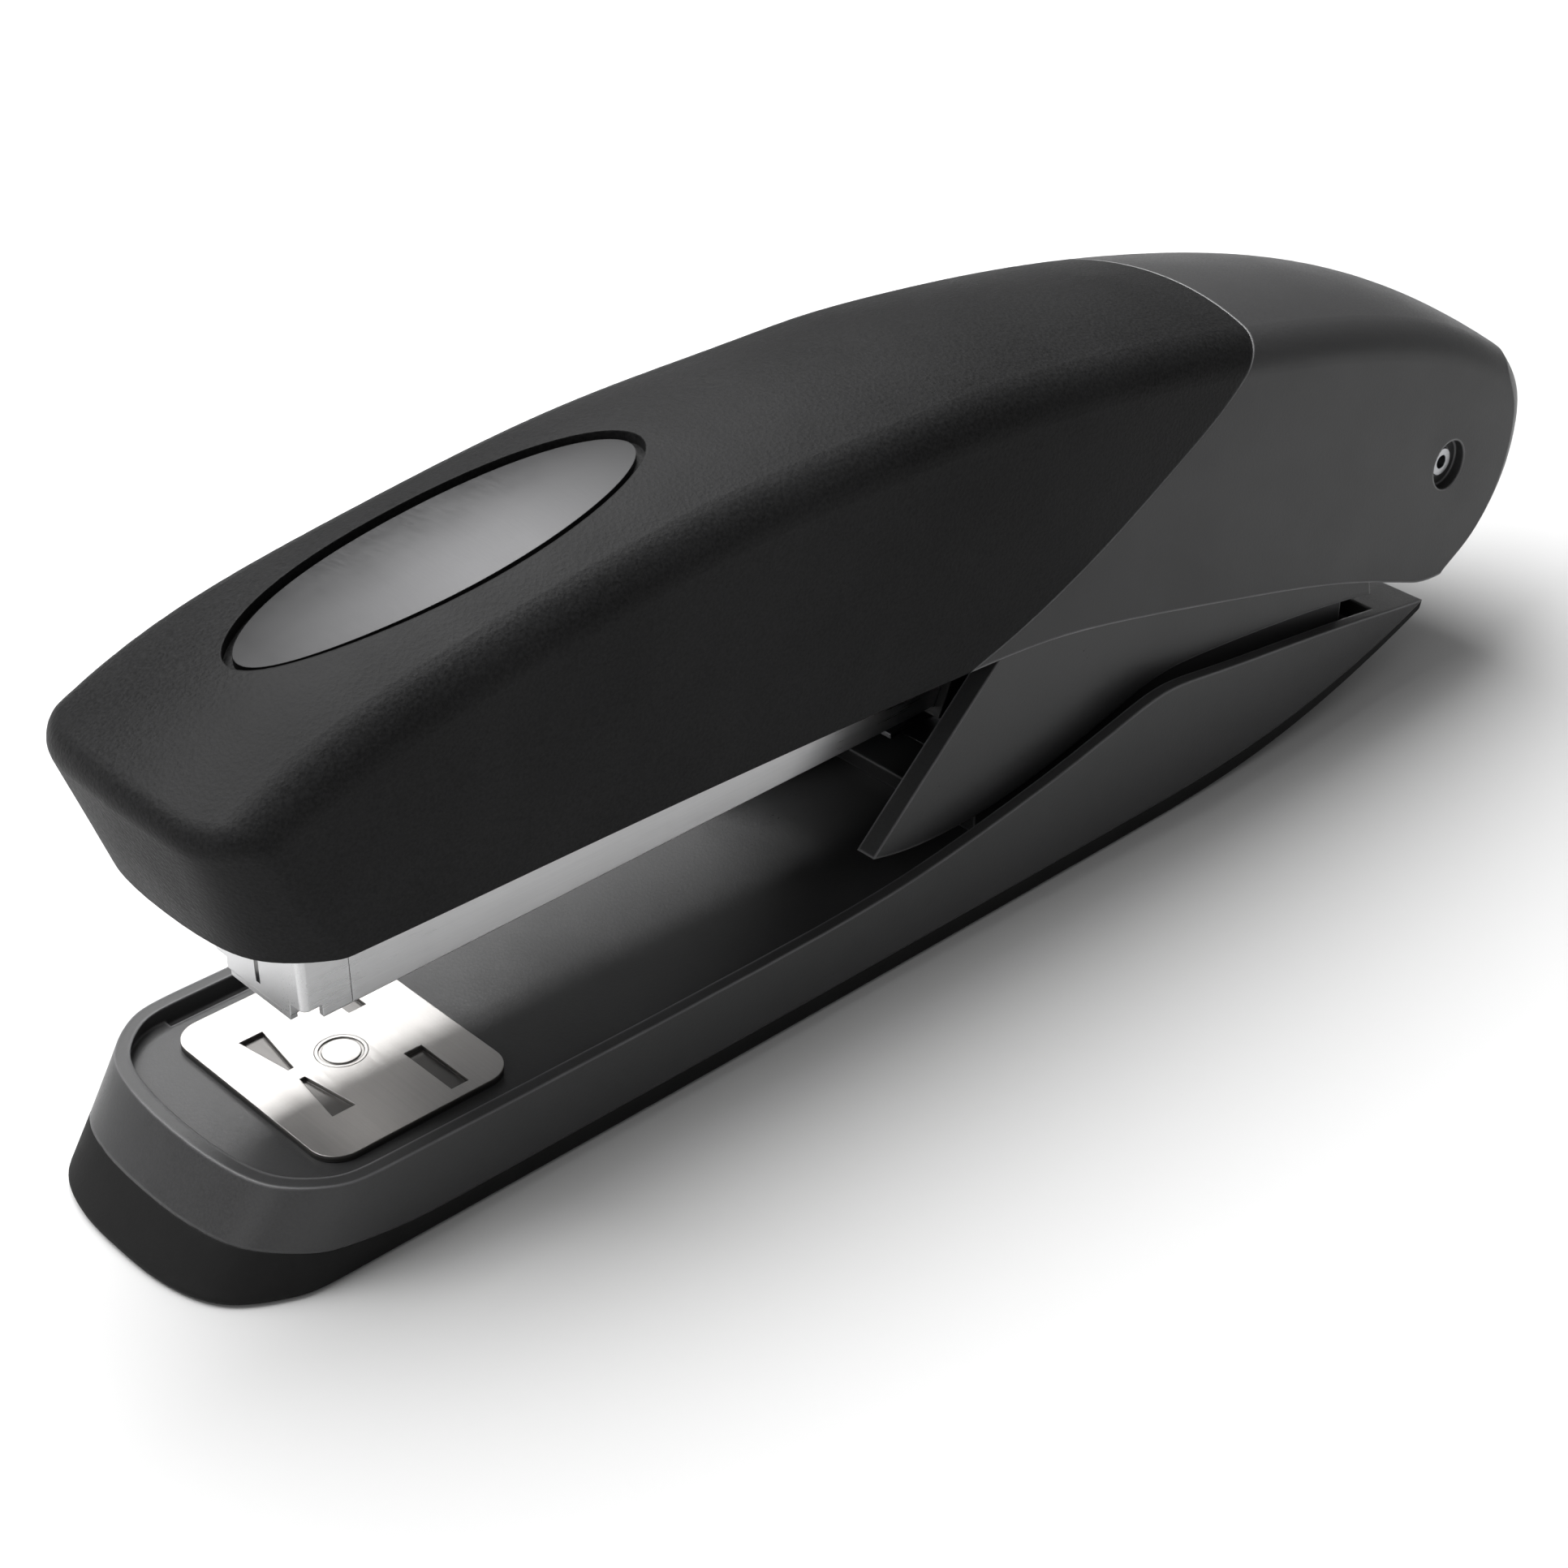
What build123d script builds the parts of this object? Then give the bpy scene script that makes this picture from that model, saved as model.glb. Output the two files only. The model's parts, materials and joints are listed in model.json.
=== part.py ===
"""Full-strip desk stapler, top loading, with a lift-and-turn anvil.

Axes: +X runs to the hinge end, -X to the stapling nose, +Z is up, and the
object is symmetric about the XZ plane.  The origin is the middle of the
footprint, on the surface that the rubber foot rests on.  Millimetres.
"""
import os
from math import cos, hypot, radians, sin

from build123d import *

os.makedirs("parts", exist_ok=True)

# ---------------------------------------------------------------- driving dimensions
HALF_LENGTH = 94.9          # half of the overall length
PIVOT_X = 75.0              # hinge pin centre
PIVOT_Z = 26.6
ARM_TILT = -0.75            # degrees, the arm hangs this much nose-down at rest
PIN_R = 1.6                 # hinge pin outside radius
PIN_BORE_R = 0.8
PIN_REACH = 14.3            # the pin ends this far from the middle, inside the recess of the cover
RUN_FIT = 0.06              # radial clearance of parts that turn or slide
FIXED_FIT = 0.02            # radial clearance of parts that stay put

RIM_T = 1.4                 # thickness of the rim
TRAY_Z = 8.7                # tray floor
TRAY_T = 1.8
TAIL_X = 74.5               # rear end of the base
TAIL_BLOCK_X = 65.0         # solid block of the tail, behind the tray
BASE_WALL = 2.4
PLATE_T = 1.2               # stiffening plate under the tray
FOOT_EDGE_R = 0.6           # rounding of the foot where it meets the desk
FOOT_BAND = 2.3             # height of the rubber band along the sides

ANVIL_X = -69.0             # turning centre of the anvil
ANVIL_HALF_L = 10.5
ANVIL_HALF_W = 12.9
ANVIL_CORNER = 3.0
ANVIL_T = 0.7
CLINCH_DEPTH = 0.45         # the staple-forming pockets
ANVIL_GAP = 0.06            # air under the anvil plate
POCKET_X = 5.0              # clinch lines, either side of the turning centre
POST_R = 2.5
FINGER_HOLE_R = 8.0
BUTTON_R = 6.0
BUTTON_LOW = 1.3
BUTTON_TOP = 2.9
CUP_R = 5.2
CUP_T = 0.6

COVER_HALF_W = 16.1         # half width of the arm at WIDTH_Z
WIDTH_Z = 28.0
COVER_DRAFT = 0.038         # the sides lean in by this much per millimetre of height
COVER_T = 1.8
SKIRT_INNER_W = 14.75       # flat inner sides of the rear housing
SHOULDER_R = 4.6
SEAM_GAP = 0.16

BADGE_X = -53.9             # oval badge centre
BADGE_A = 21.6
BADGE_B = 7.1
BADGE_SINK = 0.45
BADGE_T = 0.7
BADGE_GAP = 0.95

# Arm frame: origin on the hinge pin, x negative towards the nose, z up.
CH_BOTTOM = -4.4            # underside of the magazine
CH_TOP = 9.1                # top edge of the magazine walls
CH_HALF_W = 7.05
SHEET = 0.6
NOSE_X = -152.0             # front face of the magazine
NOSE_BACK_X = -146.8
NOSE_CORNER_R = 0.7
STAPLE_X = -149.0           # plane of the driver blade
RAIL_HALF_W = 5.75
RAIL_TOP = 2.2
RAIL_T = 0.7
ROD_Z = -1.1
ROD_R = 1.0
PUSHER_FRONT_X = -148.0
PUSHER_L = 12.0
PUSHER_TOP = 7.6
TONGUE_L = 6.0
SPRING_R = 1.85
SPRING_WIRE_R = 0.22
SPRING_TURNS = 34
ANCHOR_X = -20.0            # rear anchor of the guide rod
ROD_FRONT_X = -148.0
ROD_REAR_X = ANCHOR_X + 7
SLEEVE_X = (-74.4, -24.0)   # folded sheet around the middle of the magazine
SLEEVE_T = 1.1
SLEEVE_TOP = 1.2

FRAME_IN = 7.5              # inner half width of the handle frame
FRAME_T = 1.0
WEB_Z = 17.3                # underside of the handle frame's web
WEB_T = 1.2
BLADE_TIP_Z = 3.9
BLADE_T = 0.5
BLADE_HALF_W = 6.3

CHEEK_IN = 8.9              # inner face of the hinge bracket's cheeks
CHEEK_T = 1.4
WING_IN = 12.0
WING_OUT = 14.35
WING_UPPER_OUT = 13.1
FLOOR_FIT = 0.02            # air between the tray floor and the parts standing on it
BRACKET_FLOOR_TOP = TRAY_Z + FLOOR_FIT + CHEEK_T
BRACKET_EYE_R = 6.0

# Rivets: shank radius, head radius, and the places where they stand.
RIVET_R = 1.6
RIVET_HEAD_R = 2.8
RIVET_HEAD_T = 0.9
BRACKET_RIVETS = [(16, 5.5), (16, -5.5), (52, 5.5), (52, -5.5)]
BLADE_RIVET_R = 1.2
BLADE_RIVET_HEAD_R = 2.0
BLADE_RIVETS = [(-142.0, 3.4), (-142.0, -3.4)]
LEAF_RIVET_R = 1.4
LEAF_RIVET_HEAD_R = 2.3
LEAF_RIVETS = [(-48.5, 0), (-56.5, 0)]
LIFT_RIVET = (38.5, 0)

# Screws that hold the two covers on the handle frame.
FRONT_BOSS_X = -55.0
REAR_BOSS_X = 45.0
BOSS_R = 3.0
SCREW_R = 1.4
SCREW_HEAD_R = 2.6
SCREW_REACH = 6.2           # how far a screw goes into its boss
HUB_R = 4.4                 # bearing of the rear cover on the pin
HUB_IN = 10.7

# Leaf springs.
LEAF_T = 0.6
LEAF_HALF_W = 5.5
LEAF_Z = WEB_Z - 0.03
HANDLE_LEAF = [(-44, LEAF_Z), (-61, LEAF_Z), (-84, 13.7), (-100, 10.6), (-106, 10.0), (-112, 10.7)]
LIFT_T = 0.55
LIFT_HALF_W = 5.0
LIFT_Z = BRACKET_FLOOR_TOP + 0.65
LIFT_LEAF = [(44, LIFT_Z), (33, LIFT_Z), (20, 13.2), (8, 17.4), (2, 18.9), (-3, 18.6)]

FAR = 30.0                  # past the outside of the object, for cutting


# ---------------------------------------------------------------- helpers
def mirrored_y(shape):
    return mirror(shape, about=Plane.XZ)


def block(x0, x1, y0, y1, z0, z1):
    size = (x1 - x0, y1 - y0, z1 - z0)
    return Pos((x0 + x1) / 2, (y0 + y1) / 2, (z0 + z1) / 2) * Box(*size)


def rod_y(x, z, radius, y0, y1):
    """A cylinder along Y from y0 to y1."""
    centre = Pos(x, (y0 + y1) / 2, z) * Rot(90, 0, 0)
    return centre * Cylinder(radius, abs(y1 - y0))


def rod_z(x, y, radius, z0, z1):
    return Pos(x, y, (z0 + z1) / 2) * Cylinder(radius, abs(z1 - z0))


def rivet_z(place, radius, head_radius, low, high, head_low, head_high):
    """An upright rivet: a shank from low to high, with a flat head past its ends."""
    x, y = place
    rivet = rod_z(x, y, radius, low, high) + rod_z(x, y, head_radius, high, high + head_high)
    if head_low:
        rivet += rod_z(x, y, head_radius, low - head_low, low)
    return rivet


def drilled(shape, places, radius):
    """Cut upright clearance holes for shanks of the given radius."""
    for x, y in places:
        shape -= rod_z(x, y, radius + FIXED_FIT, 0, FAR)
    return shape


def slab_y(face_xz, y0, y1):
    """Extrude a face drawn in the XZ plane from y0 to y1."""
    return Pos(0, y0, 0) * extrude(face_xz, y1 - y0, dir=(0, 1, 0))


def p3(point):
    return (point[0], 0, point[1])


def xz_polygon(points):
    return make_face(Polyline([p3(p) for p in points], close=True))


def half_outline_inset(points, inset):
    """Move an open half outline inwards along its own normals."""
    moved = []
    last = len(points) - 1
    for i, (x, y) in enumerate(points):
        x0, y0 = points[max(i - 1, 0)]
        x1, y1 = points[min(i + 1, last)]
        if i == 0:
            x0, y0 = points[1][0], -points[1][1]
        length = hypot(x1 - x0, y1 - y0)
        nx, ny = (y1 - y0) / length, -(x1 - x0) / length
        moved.append((x + nx * inset, y + ny * inset))
    return moved


def outline_wire(points, z, shoulder):
    """Half of a plan outline: round nose up to the shoulder point, side, straight rear end."""
    nose = Spline([(x, y, z) for x, y in points[:shoulder + 1]], tangents=[(0, 1, 0), (1, 0, 0)])
    side = Spline([(x, y, z) for x, y in points[shoulder:]], tangents=[(1, 0, 0), (1, -0.12, 0)])
    x_end, y_end = points[-1]
    rear = Line((x_end, y_end, z), (x_end, 0, z))
    middle = Line((x_end, 0, z), (points[0][0], 0, z))
    return Wire([nose.edge(), side.edge(), rear.edge(), middle.edge()])


def plan_loft(low, high, z_low, z_high, shoulder, inset=0.0):
    wires = [
        outline_wire(half_outline_inset(low, inset), z_low, shoulder),
        outline_wire(half_outline_inset(high, inset), z_high, shoulder),
    ]
    half = Solid.make_loft(wires, True)
    return half + mirrored_y(half)


def in_arm(shape):
    """Place a shape from the arm frame into the stapler."""
    return Pos(PIVOT_X, 0, PIVOT_Z) * Rot(0, ARM_TILT, 0) * shape


def write(name, shape):
    solids = shape.solids() if hasattr(shape, "solids") else [shape]
    for solid in solids:
        assert solid.is_valid, name
    body = solids[0] if len(solids) == 1 else Compound(children=list(solids))
    body.label = name
    export_step(body, f"parts/{name}.step")
    print(f"{name:24s} {len(solids)} solid(s) {sum(s.volume for s in solids):10.1f} mm3")


# ---------------------------------------------------------------- base
BASE_LOW = [
    (-HALF_LENGTH, 0), (-94.3, 7.5), (-91.8, 12.8), (-87.3, 15.7), (-80, 16.7),
    (-57, 16.7), (-13, 16.4), (25, 15.9), (52, 15.0), (TAIL_X, 12.9),
]
BASE_HIGH = [
    (-80.4, 0), (-80.0, 8.0), (-79.0, 13.2), (-76.4, 16.5), (-70, 17.8),
    (-56, 17.9), (-13, 18.1), (25, 17.8), (50, 17.4), (TAIL_X, 16.2),
]
BASE_HIGH_Z = 20.0
BASE_SHOULDER = 4           # index of the outline point where the nose ends
RIM_CURVE = [
    (-100, 10.0), (-60, 10.1), (-30, 10.0), (-12, 10.7), (0, 12.4), (10, 14.3),
    (19, 16.5), (25.5, 17.7), (32, 17.0), (47.5, 14.6), (60, 12.4), (70, 10.1), (80, 7.6),
]
STERN_X = 28.0              # the underside rises to the tail from here
UNDERSIDE = [(STERN_X, 0), (52, 1.9), (66, 4.9), (80, 9.2)]
BAND_TOP_FRONT = [(-100, 5.4), (-91, 5.3), (-84, 4.2), (-76, 2.7), (-64, FOOT_BAND)]
TAIL_SLOPE = [(TAIL_BLOCK_X - 2, 12.2), (TAIL_X + 1, 8.8)]
BAND_TOP_STERN = [(STERN_X, FOOT_BAND), (52, 3.9), (66, 6.5), (80, 10.4)]


def base_hull(inset=0.0):
    return plan_loft(BASE_LOW, BASE_HIGH, 0, BASE_HIGH_Z, BASE_SHOULDER, inset)


def rim_edges():
    return Spline([p3(p) for p in RIM_CURVE])


def band_wire():
    front = Spline([p3(p) for p in BAND_TOP_FRONT], tangents=[(1, 0, 0), (1, 0, 0)])
    middle = Line(p3(BAND_TOP_FRONT[-1]), p3(BAND_TOP_STERN[0]))
    stern = Spline([p3(p) for p in BAND_TOP_STERN], tangents=[(1, 0, 0), (1, 0, 0.3)])
    return [front, middle, stern]


def below_rim():
    corners = [(80, -5), (-100, -5)]
    low = Polyline([p3(RIM_CURVE[-1]), p3(corners[0]), p3(corners[1]), p3(RIM_CURVE[0])])
    return make_face([rim_edges(), low])


def above_band():
    corners = [(80, 40), (-100, 40)]
    high = Polyline([p3(BAND_TOP_STERN[-1]), p3(corners[0]), p3(corners[1]), p3(BAND_TOP_FRONT[0])])
    return make_face(band_wire() + [high])


def below_band():
    under = [
        Line((-100, 0, 0), p3(UNDERSIDE[0])),
        Spline([p3(p) for p in UNDERSIDE], tangents=[(1, 0, 0), (1, 0, 0.36)]),
        Line(p3(UNDERSIDE[-1]), p3(BAND_TOP_STERN[-1])),
        Line((-100, 0, 0), p3(BAND_TOP_FRONT[0])),
    ]
    return make_face(band_wire() + under)


def make_base_shell():
    hull = base_hull() & slab_y(below_rim(), -FAR, FAR) & slab_y(above_band(), -FAR, FAR)
    tray = base_hull(RIM_T) & block(-100, TAIL_BLOCK_X, -FAR, FAR, TRAY_Z, FAR)
    rim_groove = base_hull(RIM_T) - base_hull(RIM_T + 1.0)
    rim_groove &= block(-78, TAIL_BLOCK_X, -FAR, FAR, TRAY_Z - 0.5, FAR)
    rear_cut = xz_polygon(TAIL_SLOPE + [(TAIL_X + 1, FAR), (TAIL_BLOCK_X - 2, FAR)])
    hollow = base_hull(BASE_WALL) & block(-84, 60, -FAR, FAR, -1, TRAY_Z - TRAY_T)
    shell = hull - tray - rim_groove - slab_y(rear_cut, -FAR, FAR) - hollow
    shell -= rod_z(ANVIL_X, 0, POST_R + RUN_FIT, 0, FAR)
    return drilled(shell, BRACKET_RIVETS, RIVET_R)


def make_base_foot():
    foot = base_hull() & slab_y(below_band(), -FAR, FAR)
    foot -= base_hull(3.0) & block(-84, 55, -FAR, FAR, FOOT_BAND - 0.3, 12)
    foot -= rod_z(ANVIL_X, 0, FINGER_HOLE_R, -1, FAR)
    flat = [e for e in foot.edges() if e.bounding_box().max.Z < 0.01]
    outline = [e for e in flat if hypot(e.center().X - ANVIL_X, e.center().Y) > FINGER_HOLE_R + 1]
    outline = [e for e in outline if e.center().X < STERN_X - 1]
    return fillet(outline, FOOT_EDGE_R)


def make_base_plate():
    top = TRAY_Z - TRAY_T - FLOOR_FIT
    plate = base_hull(3.0) & block(-52, 58, -FAR, FAR, top - PLATE_T, top)
    return drilled(plate, BRACKET_RIVETS, RIVET_R)


def make_hinge_bracket():
    outer = CHEEK_IN + CHEEK_T
    low = TRAY_Z + FLOOR_FIT
    floor = block(8, 62, -outer, outer, low, BRACKET_FLOOR_TOP)
    side = xz_polygon([(14, low), (60, low), (64.4, 12.8), (78.6, 21.8), (71.6, 31.6), (56, 24)])
    cheek = slab_y(side, CHEEK_IN, outer)
    cheek += rod_y(PIVOT_X, PIVOT_Z, BRACKET_EYE_R, CHEEK_IN, outer)
    bracket = floor + cheek + mirrored_y(cheek)
    bracket -= rod_y(PIVOT_X, PIVOT_Z, PIN_R + FIXED_FIT, -FAR, FAR)
    return drilled(bracket, BRACKET_RIVETS, RIVET_R)


def make_bracket_rivets():
    low = TRAY_Z - TRAY_T - PLATE_T - 2 * FLOOR_FIT
    high = BRACKET_FLOOR_TOP + FLOOR_FIT
    return Compound(children=[
        rivet_z(place, RIVET_R, RIVET_HEAD_R, low, high, RIVET_HEAD_T, RIVET_HEAD_T)
        for place in BRACKET_RIVETS
    ])


WING_BOTTOM = [
    (-14.4, 13.0), (-7.4, 11.8), (0, 11.8), (11.3, 13.4), (21, 15.9), (27, 17.3),
    (35, 17.3), (46, 16.3), (57, 14.9), (64.2, 13.6),
]
WING_TOP = [(63.2, 18.0), (58, 27), (40, 31.5), (7.5, 33.5)]
WING_STEP = [
    (-30, 30.4), (7.5, 30.4), (22, 28.0), (40, 23.9), (54, 20.4), (64, 17.6),
    (90, 17), (90, 50), (-30, 50),
]
WING_POST_OUT = 13.4


def make_hinge_fairing():
    """Two wings beside the hinge, joined by a web on the tray floor."""
    edges = [
        Spline([p3(p) for p in WING_BOTTOM]),
        Polyline([p3(p) for p in [WING_BOTTOM[-1]] + WING_TOP + [WING_BOTTOM[0]]]),
    ]
    wing = slab_y(make_face(edges), WING_IN, WING_OUT)
    wing -= slab_y(xz_polygon(WING_STEP), WING_UPPER_OUT, WING_OUT + 2)
    low = TRAY_Z + FLOOR_FIT
    post = block(1, 60, WING_IN, WING_POST_OUT, low, 20)
    web = block(1, 7.5, -WING_POST_OUT, WING_POST_OUT, low, TRAY_Z + 1.8)
    return wing + mirrored_y(wing) + post + mirrored_y(post) + web


def make_pivot_pin():
    pin = rod_y(PIVOT_X, PIVOT_Z, PIN_R, -PIN_REACH, PIN_REACH)
    return pin - rod_y(PIVOT_X, PIVOT_Z, PIN_BORE_R, -FAR, FAR)


# ---------------------------------------------------------------- anvil
def make_anvil_plate():
    low = TRAY_Z + ANVIL_GAP
    high = low + ANVIL_T
    outline = RectangleRounded(2 * ANVIL_HALF_L, 2 * ANVIL_HALF_W, ANVIL_CORNER)
    plate = Pos(ANVIL_X, 0, low) * extrude(outline, ANVIL_T)
    plate -= rod_z(ANVIL_X, 0, POST_R + FIXED_FIT, 0, FAR)
    pocket = Polyline([(-0.3, 0.9), (0.3, 0.9), (1.3, 7.4), (-1.3, 7.4)], close=True)
    clinch = extrude(make_face(pocket), ANVIL_T)
    groove = Pos(2 * POCKET_X, 7.9, 0) * extrude(Rectangle(2.0, 7.2), ANVIL_T)
    pair = Pos(ANVIL_X - POCKET_X, 0, high - CLINCH_DEPTH) * (clinch + groove)
    return plate - pair - mirrored_y(pair)


def make_anvil_post():
    """The post, with a thin ring groove in its riveted end."""
    high = TRAY_Z + ANVIL_GAP + ANVIL_T
    post = rod_z(ANVIL_X, 0, POST_R, BUTTON_TOP, high)
    groove = rod_z(ANVIL_X, 0, POST_R - 0.35, high - 0.15, high)
    groove -= rod_z(ANVIL_X, 0, POST_R - 0.65, 0, high)
    return post - groove


def make_anvil_button():
    button = rod_z(ANVIL_X, 0, BUTTON_R, BUTTON_LOW, BUTTON_TOP - FIXED_FIT)
    dimple = Pos(ANVIL_X, 0, BUTTON_LOW - 9.4) * Sphere(10)
    return button - dimple


def make_anvil_cup():
    cup = rod_z(ANVIL_X, 0, CUP_R, BUTTON_TOP + RUN_FIT, BUTTON_TOP + RUN_FIT + CUP_T)
    return cup - rod_z(ANVIL_X, 0, POST_R + RUN_FIT, 0, FAR)


def make_anvil_spring():
    wire_r = 0.2
    low = BUTTON_TOP + RUN_FIT + CUP_T + wire_r + 0.05
    height = TRAY_Z - TRAY_T - wire_r - 0.05 - low
    path = Helix(pitch=height / 3, height=height, radius=3.6)
    wire = Plane(origin=path @ 0, z_dir=path % 0) * Circle(wire_r)
    return Pos(ANVIL_X, 0, low) * sweep(wire, path=path)


# ---------------------------------------------------------------- arm covers
# Shoulder line of the arm, from the nose to the hinge end: x, z, and how much narrower it is there.
SHOULDER = [
    (-97, 41.8, 0.3), (-87, 46.4, 0.15), (-76.4, 50.8, 0), (-62, 53.9, 0), (-42.6, 56.4, 0),
    (-20.4, 57.5, 0), (0, 57.3, 0), (22, 55.1, 0), (38, 52.4, 0), (55, 48.5, 0.3),
    (73.4, 42.5, 0.75), (84.2, 37.0, 1.0), (97, 28.6, 1.2),
]
CROWN = 2.8
SECTION_LOW = 6.0
NOSE_TOP = [
    (-95.4, 0), (-95.2, 7.0), (-94.6, 12.0), (-91.8, 15.3), (-81, 17.0), (-20, 18.5), (70, 18.5),
]
NOSE_LOW = [
    (-77.3, 0), (-76.6, 7.0), (-74.0, 11.5), (-70.4, 14.5), (-63, 16.6), (-15, 18.5), (70, 18.5),
]
NOSE_LOW_Z = 8.0
NOSE_TOP_Z = 64.0
NOSE_SHOULDER = 4
SKIRT = [
    (-97, 33.2), (-40, 32.0), (-3, 30.7), (8, 29.9), (19.4, 27.9), (37, 23.8), (52.2, 19.8),
    (63, 16.2),
]
# Hinge end, around the pivot: angle in degrees and distance.
LOBE = [
    (-112, 14.0), (-90, 13.9), (-72, 14.2), (-58, 14.9), (-44, 16.2), (-30, 17.9), (-15, 19.2),
    (0, 19.9), (12, 20.2),
]
TAIL_TOP = [(94.2, 33.1), (92.4, 34.8), (88.5, 37.0)]
SEAM = [
    (-7, 29.0), (-3.6, 30.6), (1.2, 32.0), (11, 35.4), (18.7, 38.9), (27, 43.3), (34.3, 47.6),
    (39.2, 52.2), (42, 57), (43, 66),
]
TAIL = [
    (HALF_LENGTH, 0), (94.6, 5.0), (93.4, 9.6), (90.9, 12.9), (86.6, 15.3), (80, 16.6), (70, 17.2),
]
# How far the hinge end reaches at each height: z, and a share of its full depth.
TAIL_REACH = [
    (11.0, 0.30), (13.4, 0.44), (15.4, 0.67), (18.0, 0.83), (22.0, 0.955), (26.6, 1.0),
    (30.2, 0.98), (33.0, 0.91), (35.4, 0.82), (38.0, 0.71), (42.0, 0.62), (48.0, 0.60),
]
NOSE_EDGE_R = 2.6           # rounding of the top edge at the nose
SKIRT_CAVITY = [(-16, 0), (-16, 40), (57, 40), (66, 37.6), (66, 0)]
TAIL_INNER_W = 13.3
RECESS_R = 2.9              # round recess around each end of the pin
REAR_WALL_LOW = 17.6        # lower end of the rear wall


def arm_section(x, shoulder_z, narrower, inset):
    """Cross-section of the arm: drafted sides, round shoulders, crowned top."""
    top = shoulder_z - inset * 0.9
    half_top = COVER_HALF_W - COVER_DRAFT * (top - WIDTH_Z) - inset - narrower
    half_low = COVER_HALF_W - COVER_DRAFT * (SECTION_LOW - WIDTH_Z) - inset - narrower
    crown_top = shoulder_z + CROWN - inset
    radius = SHOULDER_R - inset * 0.6
    side = Line((x, -half_low, SECTION_LOW), (x, -half_top, top))
    crown = ThreePointArc((x, -half_top, top), (x, 0, crown_top), (x, half_top, top))
    other = Line((x, half_top, top), (x, half_low, SECTION_LOW))
    base = Line((x, half_low, SECTION_LOW), (x, -half_low, SECTION_LOW))
    face = make_face([side, crown, other, base]).faces()[0]
    corners = [v for v in face.vertices() if v.Z > SECTION_LOW + 1]
    return face.fillet_2d(radius, corners)


def arm_loft(inset=0.0):
    return loft([arm_section(x, z, narrower, inset) for x, z, narrower in SHOULDER])


def tail_wire(points, z, reach):
    """Half of the hinge end's plan outline at one height."""
    x_side, y_side = points[-1]
    place = [(x_side + (x - x_side) * reach, y, z) for x, y in points]
    curve = Spline(place, tangents=[(0, 1, 0), (-1, 0.05, 0)])
    rest = Polyline([place[-1], (x_side - 2, y_side, z), (x_side - 2, 0, z), place[0]])
    return Wire([curve.edge()] + list(rest.edges()))


def arm_plan(inset=0.0):
    nose = plan_loft(NOSE_LOW, NOSE_TOP, NOSE_LOW_Z, NOSE_TOP_Z, NOSE_SHOULDER, inset)
    points = half_outline_inset(TAIL, -inset)
    tail = Solid.make_loft([tail_wire(points, z, reach) for z, reach in TAIL_REACH], False)
    x_side, y_side = points[-1]
    front = block(0, x_side, -y_side, y_side, NOSE_LOW_Z, NOSE_TOP_Z)
    return nose + front + tail + mirrored_y(tail)


def lobe_points(inset=0.0):
    """The rounded hinge end, up and over to the roof."""
    around = [
        (PIVOT_X + (r - inset) * cos(radians(a)), PIVOT_Z + (r - inset) * sin(radians(a)))
        for a, r in LOBE
    ]
    return around + [(x - 0.7 * inset, z - 0.7 * inset) for x, z in TAIL_TOP]


def arm_profile(inset=0.0, skirt_open=False):
    """Side view of the arm, open upwards past its top."""
    lobe = [p3(p) for p in lobe_points(inset)]
    if skirt_open:
        low = [p3((-110, 0)), p3((60, 0)), lobe[0]]
        bottom = [Polyline(low)]
    else:
        skirt = [p3(p) for p in SKIRT]
        bottom = [Spline(skirt), Line(skirt[-1], lobe[0])]
    start = p3((-110, 0)) if skirt_open else p3(SKIRT[0])
    tail = Spline(lobe)
    up = [lobe[-1], (lobe[-1][0], 0, 70), (start[0], 0, 70), start]
    return make_face(bottom + [tail, Polyline(up)])


def arm_outer():
    outer = arm_loft() & arm_plan() & slab_y(arm_profile(), -FAR, FAR)
    outer = outer.solids()[0]
    edges = [e for e in outer.edges() if e.center().X < -80 and e.center().Z > 45]
    return fillet(edges, NOSE_EDGE_R)


def arm_inner():
    cavity = arm_loft(COVER_T) & arm_plan(COVER_T) & slab_y(arm_profile(COVER_T, True), -FAR, FAR)
    wide = slab_y(xz_polygon(SKIRT_CAVITY), -SKIRT_INNER_W, SKIRT_INNER_W)
    wide &= slab_y(arm_profile(COVER_T, True), -FAR, FAR)
    return cavity + wide


def behind_seam(gap=0.0):
    """Everything on the hinge side of the seam between the two covers."""
    seam = Pos(gap, 0, 0) * Spline([p3(p) for p in SEAM])
    first = (SEAM[0][0] + gap, SEAM[0][1])
    last = (SEAM[-1][0] + gap, SEAM[-1][1])
    rest = Polyline([p3(last), p3((120, 66)), p3((120, 0)), p3((first[0] - 6, 0)), p3(first)])
    return slab_y(make_face([seam, rest]), -30, 30)


def web_top(x):
    """World height of the top of the handle frame's web at x."""
    return PIVOT_Z + WEB_Z + WEB_T + (x - PIVOT_X) * sin(radians(-ARM_TILT))


def boss(x, outer):
    return rod_z(x, 0, BOSS_R, web_top(x) + 0.1, 70) & outer


def badge_column(gap=0.0):
    """An upright oval column around the badge's outline."""
    ellipse = Ellipse(BADGE_A + gap, BADGE_B + gap)
    return Pos(BADGE_X, 0, 40) * extrude(ellipse, 40)


def screw_hole(x):
    return rod_z(x, 0, SCREW_R + FIXED_FIT, FAR, web_top(x) + SCREW_REACH + 0.3)


def make_front_cover(outer, inner):
    cover = outer - inner + boss(FRONT_BOSS_X, outer) - behind_seam()
    cover -= badge_column(BADGE_GAP) - Pos(0, 0, -BADGE_SINK - BADGE_T) * outer
    return cover - screw_hole(FRONT_BOSS_X)


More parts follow.
